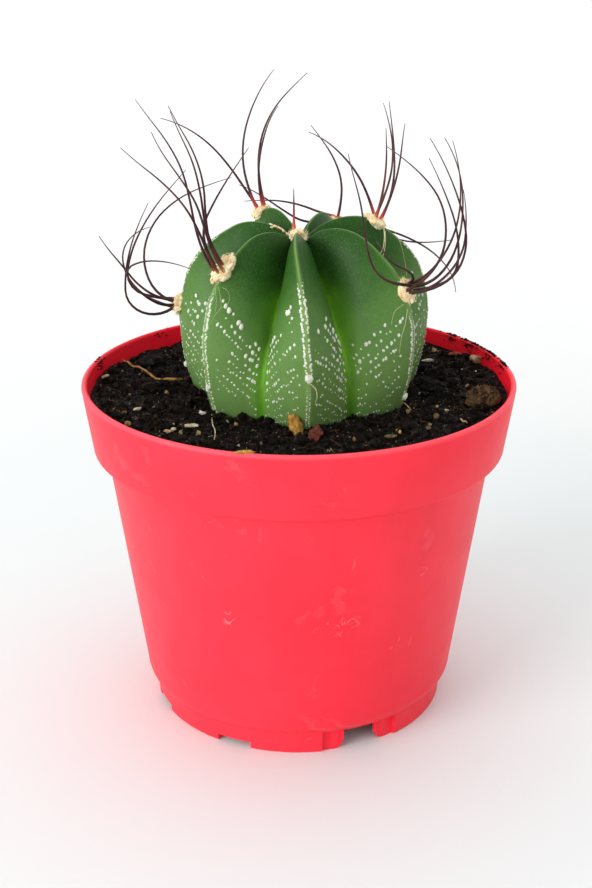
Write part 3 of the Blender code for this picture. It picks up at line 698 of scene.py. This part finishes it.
def crestFrame(rib, place):
    degrees = crestDegrees(body["ribs"][rib], place)
    point = bodyPoint(degrees, place)
    along = (bodyPoint(degrees, max(place - 0.5, 0)) - bodyPoint(degrees, place + 0.5)).normalized()
    across = Vector((math.cos(math.radians(degrees)), math.sin(math.radians(degrees)), 0))
    return point, across, along, across.cross(along).normalized()


def woolFinish():
    made, tree, shader = newMaterial("areoleWool", Roughness=0.95, Sheen_Weight=0.4, Sheen_Roughness=0.6)
    space = objectSpace(tree)
    colour = ramp(tree, clouds(tree, space, 620, 5, 0.65), (0.34, wool["stain"]), (0.45, wool["colour"]),
                  (0.60, wool["pale"]))
    tree.links.new(colour, shader.inputs["Base Color"])
    bump(tree, shader, clouds(tree, space, 2400, 4, 0.7), 0.0002)
    return made


def fibreFinish():
    made, tree, shader = newMaterial("woolFibre", Roughness=0.8, Sheen_Weight=0.3)
    colour = blend(tree, clouds(tree, objectSpace(tree), 500, 2), wool["colour"], wool["pale"])
    tree.links.new(colour, shader.inputs["Base Color"])
    return made


def spineFinish(tint):
    made, tree, shader = newMaterial("spineHorn" + tint.title(), Roughness=0.42, Specular_IOR_Level=0.22)
    base, above, rest, reach = spineTints[tint]
    coordinates = node(tree, "UVMap", (("uv_map", "UVMap"),)).outputs["UV"]
    along = node(tree, "SeparateXYZ", Vector=coordinates).outputs["X"]
    colour = ramp(tree, along, (0.02 * reach, base), (0.07 * reach, above), (0.15 * reach, rest), (0.70, rest),
                  (1.0, spineTipColour))
    streaks = ramp(tree, clouds(tree, objectSpace(tree), 120, 3, 0.6), (0.50, 0.0), (0.70, 1.0))
    colour = blend(tree, blend(tree, 0.45, (0, 0, 0), streaks), colour, (0.19, 0.068, 0.034))
    tree.links.new(colour, shader.inputs["Base Color"])
    bump(tree, shader, clouds(tree, objectSpace(tree, (1, 1, 0.15)), 2600, 3, 0.6), 0.00006)
    return made


def seatOn(rib, place, size, turn):
    point, across, along, out = crestFrame(rib, place)
    half = [s / 2 for s in size]
    x, y = spineShape["ring"] * math.cos(turn), spineShape["ring"] * math.sin(turn)
    lift = half[2] * math.sqrt(max(0.0, 1 - (x / half[0]) ** 2 - (y / half[1]) ** 2))
    return point + (across * x + along * y + out * (lift + 0.58)) * mm, out


def spinePath(start, length, leans, tilts, points):
    path, steps = [start], (points - 1) * 3
    for i in range(steps):
        share = (i + 0.5) / steps
        lean, tilt = math.radians(listed(leans, share)), math.radians(listed(tilts, share))
        way = Vector((math.sin(lean) * math.cos(tilt), -math.sin(tilt), math.cos(lean) * math.cos(tilt)))
        path.append(path[-1] + way * length * mm / steps)
    return path[::3]


def makeSpines():
    finishes = {tint: spineFinish(tint) for tint in spineTints}
    for name, (rib, place, size, spines, tint) in areoles.items():
        strands = newStrands("spines_" + name, spineShape["base"] * mm, 2)
        for k, (length, leans, tilts) in enumerate(spines):
            turn = math.tau * k / len(spines) if len(spines) > 1 else math.pi
            start, out = seatOn(rib, place, size, turn)
            path = spinePath(start, length, leans, tilts, spineShape["points"])
            first = (path[1] - path[0]).normalized()
            root = start - first * 1.1 * mm - out * 0.5 * mm
            tip = spineShape["tip"] / spineShape["base"]
            stout = spineShape["youngStout"] if tint == "young" else 1.0
            addStrand(strands, [root] + path,
                      (1.45 * stout, 1.3 * stout, 1.08 * stout, 1.0, 0.93, 0.86, 0.78, 0.68, 0.55, 0.42, tip))
        nodes = [f"spine_{name}_{k + 1}" for k in range(len(spines))]
        stand(strandsPiece(strands, finishes[tint]), "spine_horn", *nodes)


def makePads():
    chance = random.Random(8)
    padWool, padFibre = woolFinish(), fibreFinish()
    for name, (rib, place, size, spines, tint) in areoles.items():
        point, across, along, out = crestFrame(rib, place)
        turn = Matrix((across, along, out)).transposed()
        size = [s * grow for s, grow in zip(size, wool["grow"].get(name, (1, 1, 1)))]
        point = point - along * wool["droop"].get(name, 0.0) * mm
        bm = bmesh.new()
        lump(bm, point, [s / 2 * mm for s in size], turn, 0.28, place * 7, 5)
        for vert in bm.verts:
            away = (vert.co - point).normalized()
            vert.co += away * (wobble(vert.co, 1.3 * mm) * 0.5 + wobble(vert.co, 0.45 * mm) * 0.28) * mm
        for k in range(16):  # tufts that stand out of the cushion
            way = Vector((chance.uniform(-1, 1), chance.uniform(-1, 1), chance.uniform(0.1, 0.7))).normalized()
            spot = point + turn @ Vector([way[i] * size[i] * 0.5 * mm for i in range(3)])
            r = chance.uniform(0.25, 0.6) * mm
            lump(bm, spot, (r, r * chance.uniform(1, 2), r), turn, 0.6, k * 3.1, 3)
        if name == "crown":  # a thin strip of wool that runs up to the crown along the left rib
            for k in range(26):
                spot = bodyPoint(body["ribs"]["left"][0] + chance.gauss(0, 2.5), 0.1 + 1.5 * k / 26)
                r = chance.uniform(0.16, 0.34) * mm
                lump(bm, spot + Vector((0, 0, 0.15 * mm)), (r, r, r * 0.7), turn, 0.6, k * 1.7, 3)
        stand(meshPiece("woolPad_" + name, bm, padWool), "wool", "wool_" + name)
        strands = newStrands("woolFibres_" + name, 0.042 * mm, 0)
        for k in range(wool["fibres"]):
            way = Vector((chance.gauss(0, 1), chance.gauss(0, 1), abs(chance.gauss(0.2, 0.6)))).normalized()
            spot = point + turn @ Vector([way[i] * size[i] * 0.47 * mm for i in range(3)])
            head = (turn @ way + Vector((0, 0, -0.25))).normalized()
            path, reach = [spot], chance.uniform(0.5, 1.6) * mm
            for step in range(5):
                head = (head + Vector([chance.gauss(0, 0.6) for i in range(3)])).normalized()
                path.append(path[-1] + head * reach / 5)
            addStrand(strands, path, (1.0, 0.9, 0.4))
        stand(strandsPiece(strands, padFibre), "wool")
    for name, (rib, place, size) in oldAreoles.items():
        point, across, along, out = crestFrame(rib, place)
        bm = bmesh.new()
        lump(bm, point + out * 0.15 * mm, [s / 2 * mm for s in size], Matrix((across, along, out)).transposed(), 0.3,
             place, 4)
        for vert in bm.verts:
            vert.co += (vert.co - point).normalized() * wobble(vert.co, 0.5 * mm) * 0.18 * mm
        stand(meshPiece("oldWoolPiece_" + name, bm, fleckWool), "wool", "old_wool_" + name)
    strands = newStrands("looseHairs", 0.05 * mm, 0)
    for thick, route in wool["hairs"]:
        path = []
        for i in range(25):
            degrees, place, lift = smoothPoint(route, i / 24 * (len(route) - 1))
            path.append(bodyPoint(degrees, place, lift * mm) + Vector((0, 0, wobble((i, place, 0), 3.0) * 0.3 * mm)))
        addStrand(strands, path, (thick, thick * 0.9, thick * 0.5))
    stand(strandsPiece(strands, padFibre), "wool")


# Soil

soil = {
    "rise": 1.6, "bump": 0.5, "steps": 260, "colour": (0.013, 0.009, 0.007),
    # count, smallest and largest half size in mm, faces, how deep it sits, and how rare the large ones are
    "crumbs": (1900, 0.25, 1.15, 2, 0.40, 2.8), "grit": (5200, 0.09, 0.34, 1, 0.5, 2.0),
    "clods": (75, 0.9, 2.6, 3, 0.0, 1.5), "chips": (120, 0.16, 0.70, 2, 0.6, 2.2),
    "perlite": (40, 0.15, 0.42, 2, 0.6, 2.0), "sparks": (1300, 0.06, 0.20, 1, 0.9, 2.0), "fibres": 170,
    # patches of specks on the rim: degrees round, spread, count, and the share that lies on the lip
    "dust": ((129, 1.4, 70, 0.7), (120.5, 1.6, 80, 0.35), (110, 1.8, 80, 0.6), (99.5, 1.8, 70, 0.7),
             (117, 9, 130, 0.9), (257, 1.2, 70, 0.2), (226, 2.5, 14, 0.4), (190, 6.0, 16, 0.3), (340, 5.0, 6, 0.5)),
}


def soilEdge():
    top, shelf = potInside()[:2]
    deep = (top[1] - soilLevel - soil["rise"]) / (top[1] - shelf[1])
    return top[0] + (shelf[0] - top[0]) * deep - 0.15


def soilHeight(x, y):
    # in millimetres: level at the plant, rising a little towards the pot, and lumpy
    away = math.hypot(x - body["x"], y - body["y"]) / body["radius"] - 1.0
    fade = min(max(away / 0.6, 0.0), 1.0)
    lumps = math.sin(x / 3.1 + 0.4) * math.sin(y / 3.7 + 1.1) + 0.6 * math.sin(x / 1.9 - y / 2.6)
    fine = wobble((x, y, 0), 2.2) * 0.55 + wobble((x, y, 3), 0.9) * 0.35
    return soilLevel + fade * (soil["rise"] + soil["bump"] * lumps) + fine * min(1.0, 0.45 + fade)


def soilFinish():
    made, tree, shader = newMaterial("peat", Roughness=0.92, Specular_IOR_Level=0.09)
    space = objectSpace(tree)
    colour = ramp(tree, clouds(tree, space, 950, 6, 0.76), (0.42, (0.0025, 0.0018, 0.0015)), (0.55, soil["colour"]),
                  (0.63, (0.056, 0.034, 0.023)), (0.72, (0.24, 0.16, 0.11)))
    tree.links.new(colour, shader.inputs["Base Color"])
    damp = ramp(tree, clouds(tree, space, 300, 3), (0.35, 0.5), (0.6, 0.95))
    tree.links.new(damp, shader.inputs["Roughness"])
    bump(tree, shader, clouds(tree, space, 1900, 6, 0.78), 0.0008)
    return made


def soilPlace(degrees, share):
    # a share of the way from the plant to the pot's wall
    inner = around(outlineRadius(degrees), degrees, 0) + axis / mm
    way = around(1.0, degrees, 0)
    start = Vector((body["x"], body["y"], 0))
    along = start.dot(way)
    outer = start + way * (-along + math.sqrt(along * along - start.length_squared + soilEdge() ** 2))
    spot = inner.lerp(outer, share)
    return spot.x, spot.y


def makeSoil():
    peat = soilFinish()
    edge = soilEdge()
    inside = potInside()
    outline = [(edge * i / 74, soilLevel) for i in range(75)]
    outline += [(r - 0.3, z + 0.3) for r, z in inside[1:]] + [(0, inside[-1][1] + 0.3)]
    bm = spunShape(outline, soil["steps"])
    for vert in bm.verts:
        x, y, z = vert.co / mm
        if abs(z - soilLevel) > 0.01:
            continue
        turn = math.degrees(math.atan2(x - body["x"], body["y"] - y)) % 360
        inward = math.hypot(x - body["x"], y - body["y"]) / (outlineRadius(turn) + 0.3)
        vert.co.z = soilHeight(x, y) * mm
        if inward < 1.0:  # the pocket that the root sits in
            table = body["buried"]
            for (outer, above), (inner, below) in zip(table, table[1:] + ((0.0, 1.0),)):
                if inner <= inward <= outer:
                    deep = above + (below - above) * (outer - inward) / (outer - inner)
                    vert.co.z = (soilLevel - deep * body["rootDepth"] - 0.4) * mm
    bmesh.ops.recalc_face_normals(bm, faces=bm.faces)
    stand(meshPiece("soilPiece", bm, peat, 60), "peat", "soil")

    chance = random.Random(17)

    def scatter(name, material):
        count, low, high, fineness, sink, power = soil[name]
        crumbs = bmesh.new()
        for k in range(count):
            size = low + (high - low) * chance.random() ** power
            farthest = 0.98 - size * 0.09  # a large clod keeps off the pot's wall
            x, y = soilPlace(chance.uniform(0, 360), 0.005 + farthest * chance.random() ** 0.85)
            spot = Vector((x, y, soilHeight(x, y) + size * sink)) * mm
            halves = [size * chance.uniform(0.5, 1.3) * mm for i in range(3)]
            turn = Matrix.Rotation(chance.uniform(0, 6.3), 3, (chance.random(), chance.random(), 0.4))
            lump(crumbs, spot, halves, turn, 0.7, chance.uniform(0, 90), fineness)
        stand(meshPiece("soil" + name.title(), crumbs, material, 32), "peat")

    for name in ("crumbs", "grit", "clods"):
        scatter(name, peat)
    scatter("chips", barkFinish("chipFinish", (0.42, 0.27, 0.12), (0.10, 0.05, 0.025)))
    scatter("perlite", barkFinish("perliteFinish", (0.80, 0.78, 0.72), (0.50, 0.46, 0.40)))
    scatter("sparks", barkFinish("sparkFinish", (0.55, 0.44, 0.30), (0.12, 0.08, 0.05)))
    strands = newStrands("soilFibres", 0.07 * mm, 0)
    for k in range(soil["fibres"]):
        degrees, share = chance.uniform(0, 360), chance.random() ** 0.8
        x, y = soilPlace(degrees, 0.03 + 0.93 * share)
        heading, reach, path = chance.uniform(0, math.tau), chance.uniform(0.3, 0.95), []
        for step in range(6):
            away = math.hypot(x, y)
            if away > soilEdge() - 0.4:
                x, y = x * (soilEdge() - 0.4) / away, y * (soilEdge() - 0.4) / away
            path.append(Vector((x, y, soilHeight(x, y) + 0.25 + 0.35 * chance.random())) * mm)
            heading += chance.gauss(0, 0.22)
            x, y = x + reach * math.cos(heading), y + reach * math.sin(heading)
        addStrand(strands, path, (chance.uniform(0.6, 1.5), 1.0, 0.5))
    stand(strandsPiece(strands, barkFinish("fibreFinish", (0.20, 0.11, 0.05), (0.030, 0.016, 0.010))), "fibre")

    dust = bmesh.new()  # specks of soil left in patches on the lip and on the wall above the soil
    for middle, spread, count, lip in soil["dust"]:
        for k in range(count):
            degrees, deep = middle + chance.gauss(0, spread), chance.random() ** 2.2
            top, shelf = potInside()[:2]
            onLip = chance.random() < lip
            z = pot["height"] - 0.02 if onLip else pot["height"] - 0.5 - deep * 1.9
            radius = pot["rimRadius"] - chance.uniform(0.4, 1.1) if onLip else (
                top[0] + (shelf[0] - top[0]) * (top[1] - z) / (top[1] - shelf[1]) - 0.05)
            r = (0.10 + 0.30 * chance.random() ** 2.0) * mm
            lump(dust, around(radius * mm, degrees, z * mm), (r, r, r * 0.6), Matrix.Identity(3), 0.8, k, 1)
    stand(meshPiece("rimDust", dust, peat), "peat")


# Loose bits on the soil

bits = {
    # name: (degrees round the plant, share of the way to the wall), half sizes, degrees turned and tipped, colours
    "fibre_clod": ((73.4, 0.78), (4.0, 3.1, 2.2), (20, 10), (0.11, 0.060, 0.025), (0.007, 0.005, 0.004)),
    "bark_chip_long": ((357.6, 0.13), (1.7, 3.4, 0.8), (24, 38), (0.52, 0.29, 0.06), (0.17, 0.065, 0.018)),
    "bark_chip_short": ((5.9, 0.26), (1.5, 2.2, 0.8), (-20, 25), (0.20, 0.050, 0.030), (0.05, 0.016, 0.010)),
    "black_clod": ((88.0, 0.29), (2.6, 2.1, 1.7), (40, 0), (0.018, 0.015, 0.013), (0.004, 0.003, 0.003)),
}
clodCrumbs = 150
flakeColours = {  # light and dark
    "ochre": ((0.62, 0.36, 0.07), (0.30, 0.13, 0.03)), "pale": ((0.74, 0.66, 0.48), (0.36, 0.26, 0.15)),
    "tan": ((0.60, 0.42, 0.26), (0.24, 0.12, 0.06)), "red": ((0.30, 0.070, 0.045), (0.10, 0.025, 0.018)),
    "white": ((0.82, 0.80, 0.72), (0.46, 0.40, 0.30)), "olive": ((0.22, 0.18, 0.07), (0.06, 0.045, 0.02)),
}
flakes = (  # x and y in mm, half length, width and thickness, degrees turned, colour
    ("ochre", -11.4, -50.2, (2.1, 0.7, 0.35), 12), ("pale", -24.7, -24.1, (1.7, 0.8, 0.45), 14),
    ("white", -22.7, -14.1, (0.8, 0.45, 0.4), 0), ("tan", -29.5, -30.8, (0.8, 0.5, 0.4), -20),
    ("pale", -17.1, -19.9, (0.9, 0.4, 0.35), 5), ("pale", -28.4, -28.6, (0.7, 0.5, 0.4), 40),
    ("red", 40.6, 25.8, (1.8, 0.8, 0.5), -12), ("tan", 45.4, 20.6, (1.6, 0.9, 1.0), -30),
    ("white", 33.3, 22.5, (1.6, 0.35, 0.35), 4), ("tan", 35.4, 29.1, (0.6, 0.4, 0.5), 0),
    ("ochre", 26.1, -24.8, (0.75, 0.6, 0.6), 50), ("pale", 24.2, -23.4, (0.55, 0.4, 0.4), 0),
    ("olive", 20.7, -31.1, (1.2, 0.6, 0.4), 10), ("olive", 29.3, -27.9, (1.2, 0.7, 0.5), 60),
    ("ochre", 22.9, -28.9, (0.6, 0.35, 0.4), 80), ("pale", 34.7, -14.0, (0.7, 0.4, 0.4), 15),
    ("tan", -48.1, 7.0, (1.2, 0.6, 0.4), 60), ("pale", -38.0, -14.0, (0.9, 0.45, 0.35), 30),
    ("tan", 4.0, 41.0, (1.4, 0.8, 0.5), 25), ("pale", -22.0, 37.0, (1.2, 0.6, 0.4), 70),
    ("red", -8.0, 44.0, (1.6, 0.9, 0.6), -15), ("ochre", 19.0, 41.5, (0.9, 0.5, 0.4), 35),
)
twigs = (  # thickness, then x, y and lift in mm along it
    ("pale", 0.55, ((-20.4, -15.7, 0.9), (-19.9, -22.0, 0.8), (-18.9, -29.0, 0.9), (-18.9, -35.8, 0.5))),
    ("tan", 0.7, ((37.2, -22.1, 0.9), (38.0, -23.6, 1.0), (38.5, -24.6, 0.8))),
    ("tan", 0.5, ((20.7, -4.5, 1.2), (23.6, -7.5, 1.7), (26.0, -11.5, 1.2), (27.2, -16.2, 0.6))),
    ("tan", 0.6, ((-12.0, 38.0, 0.7), (-5.0, 41.0, 1.1), (4.0, 40.0, 0.8), (11.0, 43.0, 0.6))),
)
rootRoute = ((265.9, 0.13), (268.0, 0.25), (265.9, 0.38), (261.6, 0.52), (258.1, 0.70), (254.7, 0.89))


def barkFinish(name, light, dark):
    made, tree, shader = newMaterial(name, Roughness=0.85, Specular_IOR_Level=0.12)
    colour = ramp(tree, clouds(tree, objectSpace(tree, (1, 0.3, 1)), 900, 5, 0.7), (0.35, dark), (0.62, light))
    tree.links.new(colour, shader.inputs["Base Color"])
    bump(tree, shader, clouds(tree, objectSpace(tree, (1, 0.25, 1)), 1500, 4, 0.7), 0.0004)
    return made


def makeBits():
    chance = random.Random(23)
    slots = {"fibre_clod": "fibre", "black_clod": "peat"}
    for name, ((degrees, share), halves, (turn, tip), light, dark) in bits.items():
        x, y = soilPlace(degrees, share)
        bm = bmesh.new()
        spot = Vector((x, y, soilHeight(x, y) + halves[2] * 0.55 + 1.4 * math.sin(math.radians(tip)))) * mm
        stance = Matrix.Rotation(math.radians(turn), 3, "Z") @ Matrix.Rotation(math.radians(tip), 3, "X")
        lump(bm, spot, [h * mm for h in halves], stance, 0.45, degrees, 5)
        for vert in bm.verts:
            away = (vert.co - spot).normalized()
            vert.co += away * (wobble(vert.co, 0.9 * mm) * 0.45 + wobble(vert.co, 0.4 * mm) * 0.2) * mm
        if name == "fibre_clod":  # a crumbly lump, with crumbs stuck all over it
            for k in range(clodCrumbs):
                way = Vector((chance.gauss(0, 1), chance.gauss(0, 1), abs(chance.gauss(0, 0.8)))).normalized()
                r = chance.uniform(0.12, 0.5) * mm
                lump(bm, spot + stance @ Vector([way[i] * halves[i] * mm for i in range(3)]),
                     (r, r * chance.uniform(0.6, 1.8), r), stance, 0.7, k * 1.9, 1)
        stand(meshPiece(name + "Piece", bm, barkFinish(name + "Finish", light, dark)), slots.get(name, "bark"), name)

    finishes = {name: barkFinish("flake" + name.title(), *colours) for name, colours in flakeColours.items()}
    for name, finish in finishes.items():
        bm = bmesh.new()
        for k, (colour, x, y, halves, turn) in enumerate(flakes):
            if colour == name:
                seat = pot["height"] + 0.1 if math.hypot(x, y) > pot["rimRadius"] - 2 else soilHeight(x, y) + 0.8
                lump(bm, Vector((x, y, seat)) * mm, [h * mm for h in halves],
                     Matrix.Rotation(math.radians(turn), 3, "Z"), 0.55, k * 2.7, 3)
        stand(meshPiece("flakes" + name.title(), bm, finish), "bark")
    for number, (colour, thick, route) in enumerate(twigs):
        strands = newStrands(f"twig{number + 1}", 0.25 * mm, 1)
        path = []
        for i in range(17):
            x, y, lift = smoothPoint(route, i / 16 * (len(route) - 1))
            path.append(Vector((x, y, soilHeight(x, y) + lift)) * mm)
        addStrand(strands, path, (thick * 0.6, thick, thick * 0.9, thick * 0.5))
        stand(strandsPiece(strands, finishes[colour]), "fibre")

    strands = newStrands("dryRootPiece", 0.27 * mm, 2)
    path = []
    for i in range(31):
        spot = i / 30 * (len(rootRoute) - 1)
        degrees, share = smoothPoint(rootRoute, spot)
        x, y = soilPlace(degrees, share)
        path.append(Vector((x, y, soilHeight(x, y) + 1.8 + 0.3 * math.sin(spot * 2.2))) * mm)
    addStrand(strands, path, (0.9, 1.4, 0.9, 1.1, 0.8, 0.9, 0.5))
    rootFinish = barkFinish("rootFinish", (0.46, 0.23, 0.07), (0.16, 0.07, 0.02))
    stand(strandsPiece(strands, rootFinish), "fibre", "dry_root")


# Setting: pale floor, camera and light

setting = {  # metres and watts
    "floorColour": (0.825, 0.845, 0.840), "cloudColour": (0.80, 0.82, 0.815), "nearBounceCancelColour": (0.775, 0.860, 0.860),
    "farColour": (0.985, 0.985, 0.985),
    "floorRadius": 2.6, "bend": 1.2, "wallHeight": 1.7, "sky": 0.83,
    # lamps: place, size and power
    "lamps": {"overhead": ((0.0, 0.9, 2.4), 3.0, 14.0), "left": ((-1.55, -1.25, 0.62), 1.2, 32.0)},
}


def makeSetting():
    # a floor that bends up into a round wall, so that it looks the same from every side
    made, tree, shader = newMaterial("paleFloor", Roughness=0.75)
    away = node(tree, "VectorMath", (("operation", "LENGTH"),), Vector=objectSpace(tree)).outputs["Value"]
    near = blend(tree, clouds(tree, objectSpace(tree), 9, 3), setting["floorColour"], setting["cloudColour"])
    # painted light: a less red tint near the pot that cancels the red light the pot bounces onto the floor
    near = blend(tree, ramp(tree, away, (0.06, 1.0), (0.25, 0.0)), near, setting["nearBounceCancelColour"])
    colour = blend(tree, ramp(tree, away, (0.18, 0.0), (0.62, 0.85), (1.0, 1.0)), near, setting["farColour"])
    tree.links.new(colour, shader.inputs["Base Color"])
    outline = [(0, 0), (setting["floorRadius"], 0)]
    for i in range(1, 13):
        turn = math.pi / 2 * i / 12
        outline.append((setting["floorRadius"] + setting["bend"] * math.sin(turn),
                        setting["bend"] * (1 - math.cos(turn))))
    outline.append((outline[-1][0], setting["wallHeight"]))
    bm = spunShape([(r / mm, z / mm) for r, z in outline], 64)
    bmesh.ops.reverse_faces(bm, faces=bm.faces)
    meshPiece("floor", bm, made)

    world = bpy.data.worlds.new("studio")
    world.use_nodes = True
    background = world.node_tree.nodes["Background"]
    background.inputs["Color"].default_value = (1.0, 1.0, 1.0, 1.0)
    background.inputs["Strength"].default_value = setting["sky"]
    bpy.context.scene.world = world

    for name, (place, size, power) in setting["lamps"].items():
        light = bpy.data.lights.new(name, "AREA")
        light.size = size
        light.energy = power
        lamp = bpy.data.objects.new(name, light)
        lamp.location = place
        lamp.rotation_euler = (Vector((0, 0, 0.08)) - Vector(place)).to_track_quat("-Z", "Y").to_euler()
        bpy.context.scene.collection.objects.link(lamp)

    camera = bpy.data.objects.new("camera", bpy.data.cameras.new("camera"))
    camera.location = (0.0, -0.345, 0.2034)
    camera.rotation_euler = (math.radians(68.24), 0.0, 0.002)
    camera.data.lens = 60.81
    camera.data.clip_start = 0.01
    bpy.context.scene.collection.objects.link(camera)
    bpy.context.scene.camera = camera
    bpy.context.scene.view_settings.view_transform = "Standard"


makeSetting()
makePot()
print("pot made")
makeBody()
fleckWool = fleckFinish()
makeFlecks()
makeCrestFlecks()
print("cactus body made")
makePads()
makeSpines()
print("wool and spines made")
makeSoil()
makeBits()
print("soil made")
